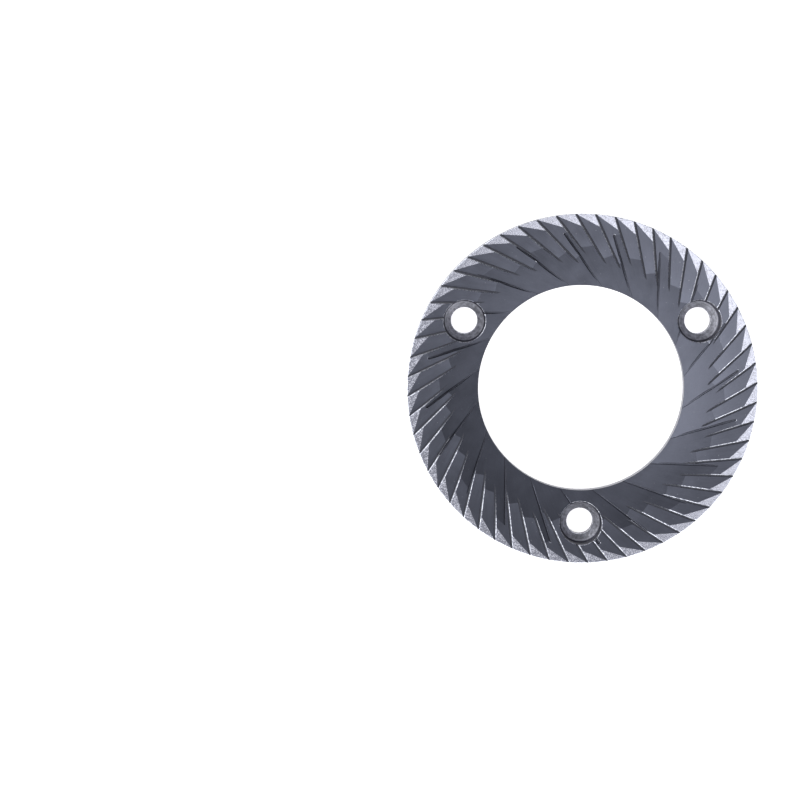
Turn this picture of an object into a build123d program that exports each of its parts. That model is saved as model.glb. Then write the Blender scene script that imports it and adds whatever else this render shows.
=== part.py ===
from build123d import *
import math
import os

os.makedirs("parts", exist_ok=True)

# Ring blank. The plane of the back rim is z = 0 and the toothed face looks up.
outer_diameter = 98.0
bore_diameter = 58.0
height = 13.0

# Back of the ring
back_outer_chamfer = 0.65
rim_inner_radius = 45.6
recess_outer_radius = 44.2
recess_depth = 3.0
bore_back_chamfer = 1.3

# Screw holes with their sunk seats
hole_count = 3
hole_circle_diameter = 76.0
hole_first_angle = 30.0
hole_diameter = 7.4
seat_diameter = 11.9
seat_depth = 5.0
seat_cone_angle = 90.0

# Fine teeth. Each groove line passes the axis at the stated offset, rises outwards and runs out at the rim.
fine_count = 56
fine_line_offset = 24.0
fine_runout_radius = 48.8
fine_clocking = 1.9
fine_rise_angle = 8.4
fine_lean_angle = 14.4
fine_flank_angle = 80.0

# Flat channel along the foot of each fine flank
fine_channel_width = 0.5
fine_channel_depth = 0.2
fine_channel_overlap = 0.08

# Coarse teeth of the feed zone, deepest at the bore. The cut stops short of the rim.
coarse_count = 20
coarse_end_radius = 43.7
coarse_line_offset = 21.0
coarse_bore_depth = 5.07
coarse_clocking = 6.95
coarse_rise_angle = 13.3
coarse_lean_angle = 16.4
coarse_flank_angle = 80.0

# Round channel along the root of each coarse tooth
root_radius = 0.36
root_sink = 0.08

outer_radius = outer_diameter / 2
bore_radius = bore_diameter / 2


def slope(angle):
    return math.tan(math.radians(angle))


def ring_blank():
    profile = Polyline(
        (bore_radius, height),
        (outer_radius, height),
        (outer_radius, back_outer_chamfer),
        (outer_radius - back_outer_chamfer, 0),
        (rim_inner_radius, 0),
        (recess_outer_radius, recess_depth),
        (bore_radius + bore_back_chamfer, recess_depth),
        (bore_radius, recess_depth + bore_back_chamfer),
        (bore_radius, height),
    )
    section = Plane.XZ * make_face(profile)
    return revolve(section, Axis.Z)


def line_frame(start_radius, start_angle, line_offset, start_height):
    # x runs outwards along the groove line, y across it clockwise, seen from above the teeth
    turn = math.degrees(math.asin(line_offset / start_radius))
    angle = math.radians(start_angle)
    heading = math.radians(start_angle + turn)
    origin = (start_radius * math.cos(angle), start_radius * math.sin(angle), start_height)
    along = (math.cos(heading), math.sin(heading), 0)
    return Plane(origin=origin, x_dir=along, z_dir=(0, 0, -1))


def tooth_space(frame, next_frame, rise, lean, flank, foot, inner_reach, outer_reach, width, head):
    # Wedge of air over one tooth facet. Its floor is the facet, the foot lists the corners between facet
    # and flank, and the far side ends at the next groove line.
    start = frame.origin - frame.x_dir * inner_reach - Vector(0, 0, 1) * (inner_reach * slope(rise))
    across = Plane(origin=start, x_dir=frame.y_dir, z_dir=frame.x_dir * -1)
    up = 1 if across.y_dir.Z > 0 else -1
    flank_foot, flank_bottom = foot[-1]
    flank_head = (flank_foot - head / slope(flank), flank_bottom + head)
    corners = foot + [flank_head, (width, head), (width, width * slope(lean)), foot[0]]
    wedge_outline = Polyline([(side, up * rise_there) for side, rise_there in corners])
    travel = frame.x_dir + Vector(0, 0, 1) * slope(rise)
    length = (inner_reach + outer_reach) / math.cos(math.radians(rise))
    wedge = extrude(across * make_face(wedge_outline), amount=length, dir=travel.normalized())
    beyond = Plane(origin=next_frame.origin + next_frame.y_dir * 0.04, z_dir=next_frame.y_dir)
    return split(wedge, bisect_by=beyond, keep=Keep.BOTTOM)


def fine_foot():
    facet_end = (fine_channel_overlap, fine_channel_overlap * slope(fine_lean_angle))
    flank_side = fine_channel_overlap - fine_channel_width
    return [facet_end, (0, -fine_channel_depth), (flank_side, -fine_channel_depth)]


def fine_space():
    frame = line_frame(fine_runout_radius, fine_clocking, fine_line_offset, height)
    step = 360 / fine_count
    neighbour = line_frame(fine_runout_radius, fine_clocking - step, fine_line_offset, height)
    angles = (fine_rise_angle, fine_lean_angle, fine_flank_angle)
    return tooth_space(frame, neighbour, *angles, fine_foot(), 30, 3, 6.5, 5.5)


def coarse_frame(angle):
    return line_frame(bore_radius, angle, coarse_line_offset, height - coarse_bore_depth)


def coarse_length():
    # Plan length of the groove line from the bore to the end of the cut
    end = math.sqrt(coarse_end_radius**2 - coarse_line_offset**2)
    return end - math.sqrt(bore_radius**2 - coarse_line_offset**2)


def coarse_space():
    frame = coarse_frame(coarse_clocking)
    neighbour = coarse_frame(coarse_clocking - 360 / coarse_count)
    angles = (coarse_rise_angle, coarse_lean_angle, coarse_flank_angle)
    return tooth_space(frame, neighbour, *angles, [(0, 0)], 12, coarse_length(), 13, 9)


def coarse_root():
    frame = coarse_frame(coarse_clocking)
    rise = slope(coarse_rise_angle)
    travel = (frame.x_dir + Vector(0, 0, 1) * rise).normalized()
    centre = frame.origin + Vector(0, 0, root_radius - root_sink)
    run = coarse_length() / math.cos(math.radians(coarse_rise_angle))
    channel_plane = Plane(origin=centre - travel * 4, z_dir=travel)
    channel = extrude(channel_plane * Circle(root_radius), amount=4 + run)
    end = centre + travel * run
    return channel + Pos(end.X, end.Y, end.Z) * Sphere(root_radius)


def around(shape, count):
    return [Rot(0, 0, i * 360 / count) * shape for i in range(count)]


def screw_hole():
    cone_depth = (seat_diameter - hole_diameter) / 2 / slope(seat_cone_angle / 2)
    seat_floor = height - seat_depth
    profile = Polyline(
        (0, -1),
        (hole_diameter / 2, -1),
        (hole_diameter / 2, seat_floor - cone_depth),
        (seat_diameter / 2, seat_floor),
        (seat_diameter / 2, height + 1),
        (0, height + 1),
        (0, -1),
    )
    cutter = revolve(Plane.XZ * make_face(profile), Axis.Z)
    angle = math.radians(hole_first_angle)
    radius = hole_circle_diameter / 2
    return Pos(radius * math.cos(angle), radius * math.sin(angle), 0) * cutter


def burr():
    shape = ring_blank()
    shape = shape - around(fine_space(), fine_count)
    shape = shape - around(coarse_space(), coarse_count)
    shape = shape - around(coarse_root(), coarse_count)
    shape = shape - around(screw_hole(), hole_count)
    return shape


result = burr()
body = result.solid() if len(result.solids()) == 1 else result
print("solids", len(result.solids()), "faces", len(result.faces()))
export_step(body, "parts/burr.step")
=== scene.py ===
"""Looks of a flat coffee grinder burr.

The flat tops of the teeth are ground bright, the cut facets are darker, the cutting edges are worn bright,
and the back has a ground rim round a rough sunk floor.
"""

from __future__ import annotations

import logging
import math
from dataclasses import dataclass
from enum import Enum
from typing import Any

import bmesh
import bpy
import numpy as np
from mathutils import Matrix, Quaternion, Vector


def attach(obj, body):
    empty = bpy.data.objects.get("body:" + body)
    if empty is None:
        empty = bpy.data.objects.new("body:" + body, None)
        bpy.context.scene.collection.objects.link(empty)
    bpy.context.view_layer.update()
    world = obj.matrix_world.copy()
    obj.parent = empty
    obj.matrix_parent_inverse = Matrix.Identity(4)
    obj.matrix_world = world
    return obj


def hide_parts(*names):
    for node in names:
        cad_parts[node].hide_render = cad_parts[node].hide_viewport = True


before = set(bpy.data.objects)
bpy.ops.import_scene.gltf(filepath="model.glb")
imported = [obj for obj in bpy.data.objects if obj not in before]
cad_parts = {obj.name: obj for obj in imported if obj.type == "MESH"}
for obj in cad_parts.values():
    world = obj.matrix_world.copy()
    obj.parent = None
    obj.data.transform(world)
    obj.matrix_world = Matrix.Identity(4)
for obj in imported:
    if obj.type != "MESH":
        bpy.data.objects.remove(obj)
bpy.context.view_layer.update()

logging.basicConfig(level=logging.INFO, format="%(name)s: %(message)s")
log = logging.getLogger("burr")

Colour = tuple[float, float, float]
Point = tuple[float, float, float]

MM = 0.001
MM_PER_METRE = 1000.0
CENTRE: Point = (0.0, 0.0, 0.0)


class Zone(Enum):
    """The parts of the burr's skin that have a finish of their own, by material slot."""

    LAND = 0
    FINE_FACET = 1
    COARSE_FACET = 2
    FLANK = 3
    GROOVE_ROOT = 4
    CUTTING_EDGE = 5
    SEAT = 6
    HOLE = 7
    BORE = 8
    WALL = 9
    BACK_RIM = 10
    BACK_SLOPE = 11
    BACK_FLOOR = 12
    FINE_CHANNEL = 13


class Value:
    """A number that varies over a surface. Python arithmetic on it adds Math nodes."""

    def __init__(self, graph: "Graph", socket: bpy.types.NodeSocket) -> None:
        """Keeps the graph and the output socket that carries the number."""
        self.graph = graph
        self.socket = socket

    def _math(self, operation: str, *others: Any, swap: bool = False) -> "Value":
        """Adds one Math node.

        Args:
            operation: the node's operation.
            others: values or plain numbers for the other inputs.
            swap: true puts this value second, for the reflected operators.

        Returns:
            The node's result.
        """
        terms = [self, *others]
        if swap:
            terms = [others[0], self]
        node = self.graph.node("ShaderNodeMath", {"operation": operation}, dict(enumerate(terms)))
        return Value(self.graph, node.outputs[0])

    def __add__(self, other: Any) -> "Value":
        """Sum."""
        return self._math("ADD", other)

    __radd__ = __add__

    def __sub__(self, other: Any) -> "Value":
        """Difference."""
        return self._math("SUBTRACT", other)

    def __rsub__(self, other: Any) -> "Value":
        """Difference with this value taken away."""
        return self._math("SUBTRACT", other, swap=True)

    def __mul__(self, other: Any) -> "Value":
        """Product."""
        return self._math("MULTIPLY", other)

    __rmul__ = __mul__

    def __truediv__(self, other: Any) -> "Value":
        """Quotient."""
        return self._math("DIVIDE", other)

    def __rtruediv__(self, other: Any) -> "Value":
        """Quotient with this value below the line."""
        return self._math("DIVIDE", other, swap=True)

    def function(self, operation: str, *others: Any) -> "Value":
        """Any other Math operation, such as SINE, FRACT or ARCTAN2."""
        return self._math(operation, *others)

    def ramp(self, low: float, high: float) -> "Value":
        """Smooth step from 0 at low to 1 at high.

        Args:
            low: where the step starts.
            high: where the step ends; below low for a falling step.

        Returns:
            The step, from 0 to 1.
        """
        falls = high < low
        limits = {"From Min": min(low, high), "From Max": max(low, high)}
        results = {"To Min": float(falls), "To Max": float(not falls)}
        settings = {"interpolation_type": "SMOOTHSTEP"}
        node = self.graph.node("ShaderNodeMapRange", settings, {"Value": self, **limits, **results})
        return Value(self.graph, node.outputs["Result"])


@dataclass
class Place:
    """Where a shaded point is on the burr, in millimetres and radians."""

    x: Value
    y: Value
    z: Value
    radius: Value
    angle: Value


class Graph:
    """The node tree of one material."""

    def __init__(self, name: str) -> None:
        """Makes the material and keeps its Principled shader.

        Args:
            name: the material's name.
        """
        self.material = bpy.data.materials.new(name)
        self.material.use_nodes = True
        self.nodes = self.material.node_tree.nodes
        self.links = self.material.node_tree.links
        self.nodes.clear()
        self.shader = self.node("ShaderNodeBsdfPrincipled", {}, {})
        self.output = self.node("ShaderNodeOutputMaterial", {}, {"Surface": self.shader.outputs[0]})

    def node(self, kind: str, settings: dict[str, Any], inputs: dict[Any, Any]) -> bpy.types.Node:
        """Adds any node.

        Args:
            kind: the node's type name.
            settings: its properties, set before the sockets.
            inputs: a value, socket, colour or number for each input, by name or index.

        Returns:
            The new node.
        """
        made = self.nodes.new(kind)
        for key, value in settings.items():
            setattr(made, key, value)
        for key, value in inputs.items():
            self.feed(made.inputs[key], value)
        return made

    def feed(self, socket: bpy.types.NodeSocket, value: Any) -> None:
        """Links a value or socket to an input, or sets a plain number or colour on it.

        Args:
            socket: the input.
            value: what it gets.
        """
        if isinstance(value, Value):
            self.links.new(value.socket, socket)
        elif isinstance(value, bpy.types.NodeSocket):
            self.links.new(value, socket)
        elif isinstance(value, tuple) and socket.type == "RGBA":
            socket.default_value = (*value, 1.0)
        else:
            socket.default_value = value

    def place(self) -> Place:
        """Reads the shaded point from Object coordinates.

        Returns:
            x, y, z in mm, radius = sqrt(x^2 + y^2), and angle = atan2(y, x).
        """
        coords = self.node("ShaderNodeTexCoord", {}, {})
        parts = self.node("ShaderNodeSeparateXYZ", {}, {0: coords.outputs["Object"]})
        x, y, z = (Value(self, parts.outputs[i]) * MM_PER_METRE for i in range(3))
        radius = (x * x + y * y).function("SQRT")
        return Place(x, y, z, radius, y.function("ARCTAN2", x))

    def vector(self, x: Any, y: Any, z: Any) -> bpy.types.NodeSocket:
        """Joins three numbers to a vector."""
        return self.node("ShaderNodeCombineXYZ", {}, {0: x, 1: y, 2: z}).outputs[0]

    def noise(
        self, at: bpy.types.NodeSocket, scale: float, detail: float = 3.0, rough: float = 0.55
    ) -> Value:
        """Soft noise from 0 to 1 with its middle at 0.5.

        Args:
            at: the place, in mm.
            scale: features per mm.
            detail: octaves of finer noise.
            rough: how strong the finer octaves are.

        Returns:
            The noise.
        """
        made = self.node(
            "ShaderNodeTexNoise",
            {"noise_dimensions": "3D"},
            {"Vector": at, "Scale": scale, "Detail": detail, "Roughness": rough},
        )
        return Value(self, made.outputs[0])

    def cells(self, at: bpy.types.NodeSocket, scale: float) -> Value:
        """Distance from the nearest of a field of scattered points, in cell widths."""
        made = self.node("ShaderNodeTexVoronoi", {"feature": "F1"}, {"Vector": at, "Scale": scale})
        return Value(self, made.outputs["Distance"])

    def blend(self, share: Any, first: Any, second: Any) -> bpy.types.NodeSocket:
        """Mixes two colours.

        Args:
            share: 0 gives the first and 1 the second.
            first: a colour or colour socket.
            second: a colour or colour socket.

        Returns:
            The mixed colour.
        """
        made = self.node("ShaderNodeMix", {"data_type": "RGBA", "clamp_factor": True}, {})
        self.feed(made.inputs[0], share)
        self.feed(made.inputs[6], first)
        self.feed(made.inputs[7], second)
        return made.outputs[2]

    def scaled(self, colour: bpy.types.NodeSocket, factor: Value) -> bpy.types.NodeSocket:
        """Makes a colour lighter or darker by a factor."""
        made = self.node("ShaderNodeVectorMath", {"operation": "SCALE"}, {0: colour, "Scale": factor})
        return made.outputs[0]

    def finish(
        self,
        colour: Any,
        roughness: Any,
        metallic: float,
        height: Value | None = None,
        depth: float = 0.0,
    ) -> bpy.types.Material:
        """Feeds the shader and returns the material.

        Args:
            colour: base colour or its socket.
            roughness: a number or a value.
            metallic: how much of a metal it is.
            height: bump height from 0 to 1, or none.
            depth: the bump's full height in mm.

        Returns:
            The finished material.
        """
        self.feed(self.shader.inputs["Base Color"], colour)
        self.feed(self.shader.inputs["Roughness"], roughness)
        self.shader.inputs["Metallic"].default_value = metallic
        if height is not None:
            relief = {"Strength": 1.0, "Distance": depth * MM, "Height": height}
            bump = self.node("ShaderNodeBump", {}, relief)
            self.feed(self.shader.inputs["Normal"], bump.outputs[0])
        return self.material


@dataclass(frozen=True)
class GroundLand:
    """The flat tops of the teeth, ground bright, with specks and short scratches."""

    colour: Colour = (0.47, 0.48, 0.56)
    speck_colour: Colour = (0.76, 0.77, 0.86)

    def material(self) -> bpy.types.Material:
        """Bright steel under paler, rougher specks, which two grains of noise place, and short scratches.

        Returns:
            The material.
        """
        g = Graph("ground_land")
        p = g.place()
        flat = g.vector(p.x, p.y, p.z)
        grain = g.noise(flat, 2.6, 4.0, 0.7)
        cloud = g.noise(flat, 0.5, 2.0)
        scratch = g.noise(g.vector(p.x * 0.35 + p.y * 2.4, p.y * 0.35 - p.x * 0.2, p.z), 1.6, 3.0)
        specks = (grain + cloud * 0.25).ramp(0.60, 0.76)
        worn = g.blend(specks * 0.75, self.colour, self.speck_colour)
        rough = 0.20 + specks * 0.30 + (scratch - 0.5) * 0.10
        return g.finish(worn, rough, 1.0, grain * 0.6 + scratch * 0.4, 0.012)


@dataclass(frozen=True)
class CutFacet:
    """A sloped tooth floor with fine marks along the cut, its colour painted lighter at the inner end and
    darker outwards as a painted difference in reflection.
    """

    name: str
    colour: Colour
    line_offset: float
    chip_amount: float
    inner_painted_light: float
    outer_painted_light: float
    painted_light_from: float
    painted_light_to: float
    chip_colour: Colour = (0.62, 0.62, 0.66)
    darkest: float = 0.80
    lightest: float = 1.22

    def material(self) -> bpy.types.Material:
        """Blue grey steel with streaks along the grooves.

        A groove line that passes the axis at offset d has the constant heading
        h = angle + asin(d / radius), and sqrt(radius^2 - d^2) runs along it.

        Returns:
            The material.
        """
        g = Graph(self.name)
        p = g.place()
        heading = p.angle + (self.line_offset / p.radius).function("ARCSINE")
        along = (p.radius * p.radius - self.line_offset**2).function("SQRT")
        spot = g.vector(p.x, p.y, p.z)
        streaks = g.noise(g.vector(heading * 95.0, along * 0.16, p.z * 0.1), 1.0, 3.0, 0.6)
        cloud = g.noise(spot, 0.22, 3.0)
        grain = g.noise(spot, 3.2, 2.0)
        shade = 0.5 + (streaks - 0.5) * 0.55 + (cloud - 0.5) * 0.9 + (grain - 0.5) * 0.35
        dark = tuple(c * self.darkest for c in self.colour)
        light = tuple(c * self.lightest for c in self.colour)
        base = g.blend(shade, dark, light)
        # Painted light: a factor that falls from the facet's inner end to its outer end scales the colour,
        # standing in for a difference in reflection.
        outwards = p.radius.ramp(self.painted_light_from, self.painted_light_to)
        painted_reflection_drift = outwards * (self.outer_painted_light - self.inner_painted_light) + self.inner_painted_light
        base = g.scaled(base, painted_reflection_drift)
        chips = g.cells(spot, 0.62).ramp(0.12, 0.05) * grain.ramp(0.42, 0.56)
        base = g.blend(chips * self.chip_amount, base, self.chip_colour)
        rough = 0.44 + (streaks - 0.5) * 0.16 + (cloud - 0.5) * 0.10
        return g.finish(base, rough, 1.0, streaks * 0.6 + grain * 0.4, 0.006)


@dataclass(frozen=True)
class SteelFace:
    """A plain machined face with turned marks, as many to a millimetre of height as rings says."""

    name: str
    colour: Colour
    roughness: float
    rings: float = 0.2
    mottle: float = 0.3
    metallic: float = 1.0
    darkest: float = 0.65
    lightest: float = 1.4

    def material(self) -> bpy.types.Material:
        """Steel with soft mottling and marks that run round the axis.

        Returns:
            The material.
        """
        g = Graph(self.name)
        p = g.place()
        spot = g.vector(p.x, p.y, p.z)
        cloud = g.noise(spot, 0.8, 3.0)
        marks = g.noise(g.vector(p.angle * 4.0, p.radius * 0.3, p.z * self.rings), 1.5, 3.0)
        shade = 0.5 + (cloud - 0.5) * (2.0 * self.mottle) + (marks - 0.5) * 0.5
        dark = tuple(c * self.darkest for c in self.colour)
        light = tuple(c * self.lightest for c in self.colour)
        base = g.blend(shade, dark, light)
        rough = self.roughness + (marks - 0.5) * 0.15
        return g.finish(base, rough, self.metallic, marks, 0.008)


@dataclass(frozen=True)
class BrightEdge:
    """The narrow worn band on each cutting edge, broken by small nicks."""

    colour: Colour = (0.68, 0.70, 0.78)
    nick_colour: Colour = (0.22, 0.23, 0.28)

    def material(self) -> bpy.types.Material:
        """Bright steel with darker nicks from noise about half a millimetre long.

        Returns:
            The material.
        """
        g = Graph("cutting_edge")
        p = g.place()
        nicks = g.noise(g.vector(p.x, p.y, p.z), 1.9, 3.0, 0.6)
        base = g.blend(nicks.ramp(0.44, 0.60), self.colour, self.nick_colour)
        return g.finish(base, 0.34 + (nicks - 0.5) * 0.2, 1.0)


@dataclass(frozen=True)
class TurnedSeat:
    """The sunk screw seats: a wall painted near black as shade, and a cone with turned rings."""

    hole_circle_radius: float
    hole_angles: tuple[float, ...]
    seat_radius: float
    colour: Colour = (0.45, 0.455, 0.51)
    wall_painted_shade: Colour = (0.07, 0.07, 0.09)
    darkest: float = 0.6
    lightest: float = 1.4

    def material(self) -> bpy.types.Material:
        """Rings about each hole: brightness is noise of the distance from the nearest hole axis, and clouds;
        the seat's outer band, its wall, is painted near black as shade.

        Returns:
            The material.
        """
        g = Graph("screw_seat")
        p = g.place()
        near = None
        for angle in self.hole_angles:
            cx = self.hole_circle_radius * math.cos(angle)
            cy = self.hole_circle_radius * math.sin(angle)
            dx, dy = p.x - cx, p.y - cy
            gap = (dx * dx + dy * dy).function("SQRT")
            near = gap if near is None else near.function("MINIMUM", gap)
        rings = g.noise(g.vector(near * 3.1, p.z * 0.4, 0.0), 1.0, 3.0, 0.7)
        cloud = g.noise(g.vector(p.x, p.y, p.z), 1.0, 4.0, 0.65)
        shade = 0.5 + (rings - 0.5) * 1.1 + (cloud - 0.5) * 3.0
        dark = tuple(c * self.darkest for c in self.colour)
        light = tuple(c * self.lightest for c in self.colour)
        base = g.blend(shade, dark, light)
        # Painted shade: the outer band of each seat, its wall, is blended to a near black colour all round.
        wall = near.ramp(self.seat_radius - 0.55, self.seat_radius - 0.30)
        base = g.blend(wall, base, self.wall_painted_shade)
        rough = 0.40 + (cloud - 0.5) * 0.3
        return g.finish(base, rough, 0.8, rings * 0.5 + cloud * 0.5, 0.05)


@dataclass(frozen=True)
class GroundRim:
    """The back rim, ground in crossing strokes and scuffed."""

    colour: Colour = (0.60, 0.61, 0.66)
    stroke_colour: Colour = (0.88, 0.88, 0.92)
    darkest: float = 0.55
    across: float = 2.6
    along: float = 0.22

    def material(self) -> bpy.types.Material:
        """Two families of long strokes cross at a right angle, over cloudy scuffs.

        Returns:
            The material.
        """
        g = Graph("back_rim")
        p = g.place()
        rising, falling = p.x + p.y, p.x - p.y
        first = g.noise(g.vector(rising * self.across, falling * self.along, p.z), 1.0, 3.0, 0.65)
        second = g.noise(g.vector(rising * self.along, falling * self.across, p.z + 9.0), 1.0, 3.0, 0.65)
        cloud = g.noise(g.vector(p.x, p.y, p.z), 0.45, 4.0, 0.6)
        strokes = first.function("MAXIMUM", second)
        shade = 0.45 + (strokes - 0.55) * 2.2 + (cloud - 0.5) * 1.1
        base = g.blend(shade, tuple(c * self.darkest for c in self.colour), self.stroke_colour)
        rough = 0.40 + (cloud - 0.5) * 0.3
        return g.finish(base, rough, 1.0, strokes, 0.015)


@dataclass(frozen=True)
class CastRecess:
    """The sunk back: mottled grey skin with brown and violet tints, scratches and dark pits."""

    colour: Colour = (0.36, 0.355, 0.39)
    brown: Colour = (0.40, 0.36, 0.34)
    violet: Colour = (0.34, 0.32, 0.40)
    worn_colour: Colour = (0.66, 0.66, 0.70)
    scratch_colour: Colour = (0.85, 0.85, 0.88)
    pit_colour: Colour = (0.10, 0.10, 0.12)

    def material(self) -> bpy.types.Material:
        """Clouds of three tints, bright scratches where a noise crosses 0.5, and scattered pits.

        Returns:
            The material.
        """
        g = Graph("cast_recess")
        p = g.place()
        spot = g.vector(p.x, p.y, p.z)
        broad = g.noise(spot, 0.07, 3.0)
        mottle = g.noise(spot, 0.9, 5.0, 0.7)
        tint = g.noise(g.vector(p.x + 31.0, p.y - 12.0, p.z), 0.11, 2.0)
        base = g.blend(tint.ramp(0.42, 0.62), self.violet, self.brown)
        base = g.blend(0.55, base, self.colour)
        shade = ((mottle - 0.5) * 1.6 + (broad - 0.5) * 1.2 + 0.35).ramp(0.0, 1.0)
        base = g.blend(shade, base, self.worn_colour)
        web = g.noise(g.vector(p.x * 1.3, p.y * 0.5, p.z), 0.55, 4.0, 0.6)
        scratches = (web - 0.5).function("ABSOLUTE").ramp(0.016, 0.003) * broad.ramp(0.46, 0.60)
        base = g.blend(scratches * 0.55, base, self.scratch_colour)
        pits = g.cells(spot, 0.42).ramp(0.09, 0.04)
        base = g.blend(pits * 0.7, base, self.pit_colour)
        rough = 0.56 + (mottle - 0.5) * 0.25
        return g.finish(base, rough, 0.9, mottle - pits * 0.4, 0.035)


@dataclass
class BurrRing:
    """The whole burr: one ring with teeth, holes and a sunk back.

    Lengths are in millimetres and angles in radians. A tilt is the upward part of a face's unit normal.
    """

    node: str = "burr"
    body: str = "root"
    height: float = 13.0
    outer_radius: float = 49.0
    bore_radius: float = 29.0
    recess_depth: float = 3.0
    back_bore_limit: float = 32.0
    back_wall_limit: float = 47.0
    hole_circle_radius: float = 38.0
    hole_angles: tuple[float, ...] = (math.radians(30), math.radians(150), math.radians(270))
    hole_radius: float = 3.7
    seat_radius: float = 5.95
    fine_tilt: float = 0.9588
    coarse_tilt: float = 0.9356
    channel_tilt: float = 0.9893
    facet_slack: float = 0.004
    channel_slack: float = 0.003
    flank_tilts: tuple[float, float] = (0.08, 0.30)
    upright_slack: float = 0.05
    level_slack: float = 0.05
    edge_width: float = 0.16
    sharp_angle: float = math.radians(28)
    smooth_angle: float = math.radians(25)
    plane_angle: float = math.radians(0.2)
    merge_distance: float = 1e-4

    def zone(self, centre: np.ndarray, normal: np.ndarray) -> np.ndarray:
        """Sorts faces into zones by where they are and which way they look.

        Args:
            centre: face centres in mm, one row each.
            normal: unit normals, one row each.

        Returns:
            One zone number for each face.
        """
        x, y, z = centre.T
        up = normal[:, 2]
        upright = np.abs(up) < self.upright_slack
        radius = np.hypot(x, y)
        axes = self.hole_circle_radius * np.array([(math.cos(a), math.sin(a)) for a in self.hole_angles])
        gap = np.min(np.hypot(x[:, None] - axes[:, 0], y[:, None] - axes[:, 1]), axis=1)
        made = np.full(len(x), Zone.GROOVE_ROOT.value)
        made[(up > self.flank_tilts[0]) & (up < self.flank_tilts[1])] = Zone.FLANK.value
        made[np.abs(up - self.channel_tilt) < self.channel_slack] = Zone.FINE_CHANNEL.value
        made[np.abs(up - self.fine_tilt) < self.facet_slack] = Zone.FINE_FACET.value
        made[np.abs(up - self.coarse_tilt) < self.facet_slack] = Zone.COARSE_FACET.value
        made[(up > 0.999) & (z > self.height - self.level_slack)] = Zone.LAND.value
        made[(gap < self.seat_radius + 0.03) & (z > self.recess_depth + self.level_slack)] = Zone.SEAT.value
        made[(gap < self.hole_radius + 0.05) & upright] = Zone.HOLE.value
        made[(radius > self.outer_radius - 0.1) & upright] = Zone.WALL.value
        made[(radius < self.bore_radius + 0.1) & upright] = Zone.BORE.value
        down = up < -0.3
        made[down & (z < self.recess_depth - 0.01)] = Zone.BACK_SLOPE.value
        made[down & (radius < self.back_bore_limit)] = Zone.BORE.value
        made[down & (radius > self.back_wall_limit)] = Zone.WALL.value
        level = up < -0.99
        made[level & (z > self.recess_depth - self.level_slack)] = Zone.BACK_FLOOR.value
        made[level & (z < self.level_slack)] = Zone.BACK_RIM.value
        return made

    def shape(self) -> bpy.types.Object:
        """Copies the CAD ring, joins its triangles to plane faces and breaks its sharp outer edges.

        The corner normals that come with the copy no longer fit its faces, so they are taken off.

        Returns:
            The visible ring, each face's material index set to its zone.
        """
        work = bmesh.new()
        work.from_mesh(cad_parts[self.node].data)
        bmesh.ops.remove_doubles(work, verts=work.verts, dist=self.merge_distance * MM)
        work.faces.ensure_lookup_table()
        centre = np.array([f.calc_center_median() for f in work.faces]) * MM_PER_METRE
        normal = np.array([f.normal for f in work.faces])
        for face, zone in zip(work.faces, self.zone(centre, normal)):
            face.material_index = int(zone)
        bmesh.ops.dissolve_limit(
            work,
            angle_limit=self.plane_angle,
            verts=work.verts,
            edges=work.edges,
            delimit={"MATERIAL"},
        )
        bmesh.ops.bevel(
            work,
            geom=self.sharp_edges(work),
            offset=self.edge_width * MM,
            offset_type="OFFSET",
            segments=1,
            profile=0.5,
            affect="EDGES",
            clamp_overlap=False,
            material=Zone.CUTTING_EDGE.value,
        )
        mesh = bpy.data.meshes.new("burr_ring")
        work.to_mesh(mesh)
        work.free()
        if "custom_normal" in mesh.attributes:
            mesh.attributes.remove(mesh.attributes["custom_normal"])
        self.smooth(mesh)
        ring = bpy.data.objects.new("burr_ring", mesh)
        bpy.context.scene.collection.objects.link(ring)
        log.info("ring has %d faces", len(mesh.polygons))
        return ring

    def sharp_edges(self, work: bmesh.types.BMesh) -> list[bmesh.types.BMEdge]:
        """Finds the outer edges that wear bright.

        Args:
            work: the ring, with its faces sorted into zones.

        Returns:
            Each convex edge above the sharp angle that touches no groove root, channel or bore.
        """
        plain = (Zone.GROOVE_ROOT.value, Zone.FINE_CHANNEL.value, Zone.BORE.value)
        return [
            e
            for e in work.edges
            if e.is_convex
            and e.calc_face_angle(0.0) > self.sharp_angle
            and all(f.material_index not in plain for f in e.link_faces)
        ]

    def smooth(self, mesh: bpy.types.Mesh) -> None:
        """Shades round walls smoothly and cut planes flat.

        Args:
            mesh: the ring's mesh.
        """
        rounds = (Zone.SEAT, Zone.HOLE, Zone.BORE, Zone.WALL, Zone.BACK_SLOPE, Zone.GROOVE_ROOT)
        mesh.set_sharp_from_angle(angle=self.smooth_angle)
        index = np.zeros(len(mesh.polygons), np.int32)
        mesh.polygons.foreach_get("material_index", index)
        mesh.polygons.foreach_set("use_smooth", np.isin(index, [zone.value for zone in rounds]))

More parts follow.
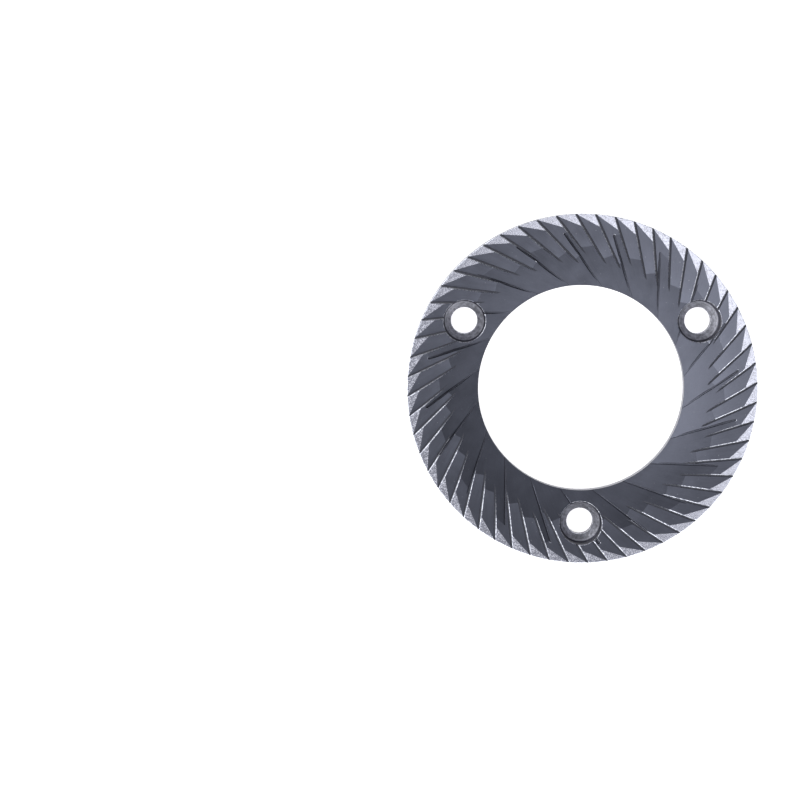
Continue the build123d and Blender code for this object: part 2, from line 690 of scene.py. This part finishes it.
    def dress(self, ring: bpy.types.Object) -> None:
        """Puts one finish in each zone's slot.

        Args:
            ring: the visible ring.
        """
        fine = CutFacet(
            "fine_facet",
            (0.136, 0.144, 0.181),
            line_offset=24.0,
            chip_amount=0.3,
            inner_painted_light=1.22,
            outer_painted_light=0.97,
            painted_light_from=36.0,
            painted_light_to=45.0,
        )
        coarse = CutFacet(
            "coarse_facet",
            (0.118, 0.125, 0.158),
            line_offset=21.0,
            chip_amount=0.15,
            inner_painted_light=1.08,
            outer_painted_light=0.86,
            painted_light_from=30.0,
            painted_light_to=40.0,
        )
        finishes = {
            Zone.LAND: GroundLand(),
            Zone.FINE_FACET: fine,
            Zone.COARSE_FACET: coarse,
            Zone.FLANK: SteelFace("flank", (0.60, 0.605, 0.65), 0.45, metallic=0.25),
            # Painted shade: the groove roots get a near black colour for the shade that falls in them.
            Zone.GROOVE_ROOT: SteelFace("groove_root_painted_shade", (0.065, 0.068, 0.085), 0.38),
            # Painted shade: the fine channels beside the flanks get a near black colour for the shade that
            # falls in them.
            Zone.FINE_CHANNEL: SteelFace("fine_channel_painted_shade", (0.08, 0.083, 0.10), 0.38),
            Zone.CUTTING_EDGE: BrightEdge(),
            Zone.SEAT: TurnedSeat(self.hole_circle_radius, self.hole_angles, self.seat_radius),
            Zone.HOLE: SteelFace("hole_wall", (0.22, 0.22, 0.25), 0.5, rings=1.5),
            # Painted shade: the bore wall gets a darker colour for the shade inside the bore.
            Zone.BORE: SteelFace("bore_wall_painted_shade", (0.24, 0.24, 0.27), 0.42, rings=2.5),
            Zone.WALL: SteelFace("outer_wall", (0.31, 0.312, 0.345), 0.42, rings=2.5),
            Zone.BACK_RIM: GroundRim(),
            # Painted shade: the sloped step round the sunk back gets a dark colour for the shade it lies in.
            Zone.BACK_SLOPE: SteelFace("back_slope_painted_shade", (0.16, 0.16, 0.19), 0.55, rings=1.0, mottle=0.4),
            Zone.BACK_FLOOR: CastRecess(),
        }
        for zone in Zone:
            ring.data.materials.append(finishes[zone].material())

    def build(self) -> bpy.types.Object:
        """Makes the ring and ties it to the CAD node that it stands for.

        Returns:
            The dressed ring.
        """
        ring = self.shape()
        self.dress(ring)
        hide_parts(self.node)
        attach(ring, self.body)
        return ring


@dataclass
class SoftBox:
    """A soft light, in metres. Its glow is the brightness of its face, where 1 is white."""

    name: str
    place: Point
    aim: Point
    width: float
    glow: float
    length: float = 0.0
    turn: float = 0.0

    def build(self) -> bpy.types.Object:
        """Makes the lamp and turns it to its aim: its power in watts is pi * width * length * glow.

        Returns:
            The lamp, square where no length is given, and turned in its own plane by turn degrees.
        """
        data = bpy.data.lights.new(self.name, "AREA")
        data.shape = "RECTANGLE"
        data.size = self.width
        data.size_y = self.length or self.width
        data.energy = math.pi * data.size * data.size_y * self.glow
        lamp = bpy.data.objects.new(self.name, data)
        lamp.location = self.place
        lamp.rotation_mode = "QUATERNION"
        facing = (Vector(self.aim) - Vector(self.place)).to_track_quat("-Z", "Y")
        lamp.rotation_quaternion = facing @ Quaternion((0.0, 0.0, 1.0), math.radians(self.turn))
        bpy.context.scene.collection.objects.link(lamp)
        return lamp


LAMPS = (
    SoftBox("overhead_cloth", (0.0, 0.0, 1.30), CENTRE, width=2.40, glow=0.31),
    SoftBox("ceiling_panel", (0.152, 0.007, 0.90), (0.152, 0.007, 0.0), 0.165, 2.15, 0.36, turn=34.4),
    SoftBox("window_panel", (-0.365, 0.000, 0.66), CENTRE, width=0.20, glow=7.0),
    SoftBox("corner_panel", (-0.27, -0.26, 0.64), CENTRE, width=0.18, glow=2.4),
    SoftBox("rear_low_panel", (-0.50, 0.42, 0.24), CENTRE, width=0.50, glow=2.4, length=0.36),
    SoftBox("left_low_panel", (-0.655, -0.08, 0.24), CENTRE, width=0.55, glow=2.3, length=0.40),
    SoftBox("corner_low_panel", (-0.32, -0.575, 0.24), CENTRE, width=0.60, glow=2.5, length=0.42),
    SoftBox("front_low_panel", (0.37, -0.546, 0.27), CENTRE, width=0.80, glow=2.3, length=0.42),
)


@dataclass
class Studio:
    """White floor, soft lamps, dim room and the photographer's place, in metres."""

    floor_flat_radius: float = 1.2
    floor_rim_radius: float = 5.0
    floor_rise: float = 1.1
    floor_level: float = -0.0001
    floor_sectors: int = 96
    floor_rings: int = 24
    floor_roughness: float = 0.9
    floor_colour: Colour = (0.80, 0.80, 0.80)
    floor_lift: float = 0.82
    world_colour: Colour = (0.92, 0.95, 1.05)
    world_strength: float = 0.13
    camera_place: Point = (-0.045, 0.050, 0.653)
    camera_aim: Point = (-0.05097, -0.0030, 0.013)
    lens: float = 103.2
    sensor_width: float = 36.0
    nearest: float = 0.01

    def sweep(self) -> bpy.types.Mesh:
        """Works out a round sheet, flat in the middle, that rises to a low rim far away.

        Its height is rise * t^2 * (3 - 2 t), where t grows from 0 at the flat's edge to 1 at the rim.

        Returns:
            The floor's mesh.
        """
        count, rings = self.floor_sectors, self.floor_rings
        t = np.linspace(0.0, 1.0, rings + 1)[:, None]
        radius = self.floor_flat_radius + (self.floor_rim_radius - self.floor_flat_radius) * t
        angle = np.linspace(0.0, 2.0 * math.pi, count, endpoint=False)[None, :]
        height = self.floor_level + self.floor_rise * t**2 * (3.0 - 2.0 * t)
        grid = np.broadcast_arrays(radius * np.cos(angle), radius * np.sin(angle), height)
        points = np.stack(grid, axis=-1).reshape(-1, 3)
        sector = np.arange(count)[None, :]
        start = np.arange(rings)[:, None] * count
        here = (start + sector).ravel()
        beside = (start + (sector + 1) % count).ravel()
        sides = np.column_stack([here, here + count, beside + count, beside])
        mesh = bpy.data.meshes.new("floor")
        mesh.from_pydata(points.tolist(), [], [tuple(range(count)), *sides.tolist()])
        return mesh

    def paper(self) -> bpy.types.Material:
        """Matt pale paper that the camera and reflections see as white, with the burr's soft shadow on it.

        Returns:
            The material.
        """
        g = Graph("floor_paper")
        g.finish(self.floor_colour, self.floor_roughness, 0.0)
        seen = g.node("ShaderNodeLightPath", {}, {})
        rays = sum(Value(g, seen.outputs[f"Is {kind} Ray"]) for kind in ("Camera", "Glossy", "Transmission"))
        lift = {"Color": (1.0, 1.0, 1.0), "Strength": rays * self.floor_lift}
        glow = g.node("ShaderNodeEmission", {}, lift)
        both = g.node("ShaderNodeAddShader", {}, {0: g.shader.outputs[0], 1: glow.outputs[0]})
        g.feed(g.output.inputs["Surface"], both.outputs[0])
        return g.material

    def floor(self) -> bpy.types.Object:
        """Lays the floor just below the burr.

        Returns:
            The floor.
        """
        mesh = self.sweep()
        sheet = bpy.data.objects.new("floor", mesh)
        bpy.context.scene.collection.objects.link(sheet)
        mesh.materials.append(self.paper())
        return sheet

    def world(self) -> None:
        """Lights the scene evenly from a dim, slightly blue room."""
        world = bpy.data.worlds.new("pale_room")
        world.use_nodes = True
        tree = world.node_tree
        tree.nodes.clear()
        sky = tree.nodes.new("ShaderNodeBackground")
        out = tree.nodes.new("ShaderNodeOutputWorld")
        sky.inputs["Color"].default_value = (*self.world_colour, 1.0)
        sky.inputs["Strength"].default_value = self.world_strength
        tree.links.new(sky.outputs[0], out.inputs["Surface"])
        bpy.context.scene.world = world

    def camera(self) -> bpy.types.Object:
        """Puts the camera where the photograph was taken from.

        Returns:
            The scene's camera.
        """
        data = bpy.data.cameras.new("camera")
        data.lens = self.lens
        data.sensor_width = self.sensor_width
        data.clip_start = self.nearest
        cam = bpy.data.objects.new("camera", data)
        back = (Vector(self.camera_place) - Vector(self.camera_aim)).normalized()
        right = Vector((0.0, 1.0, 0.0)).cross(back).normalized()
        turn = Matrix((right, back.cross(right), back)).transposed()
        cam.location = self.camera_place
        cam.rotation_mode = "QUATERNION"
        cam.rotation_quaternion = turn.to_quaternion()
        bpy.context.scene.collection.objects.link(cam)
        bpy.context.scene.camera = cam
        return cam

    def build(self) -> None:
        """Sets up the view, the floor, the world and the soft lamps."""
        bpy.context.scene.view_settings.view_transform = "Standard"
        self.camera()
        self.floor()
        self.world()
        for lamp in LAMPS:
            lamp.build()
        log.info("studio has %d lamps", len(LAMPS))


def main() -> None:
    """Builds the studio, then the burr."""
    Studio().build()
    BurrRing().build()
    log.info("burr is dressed")


if __name__ == "__main__":
    main()
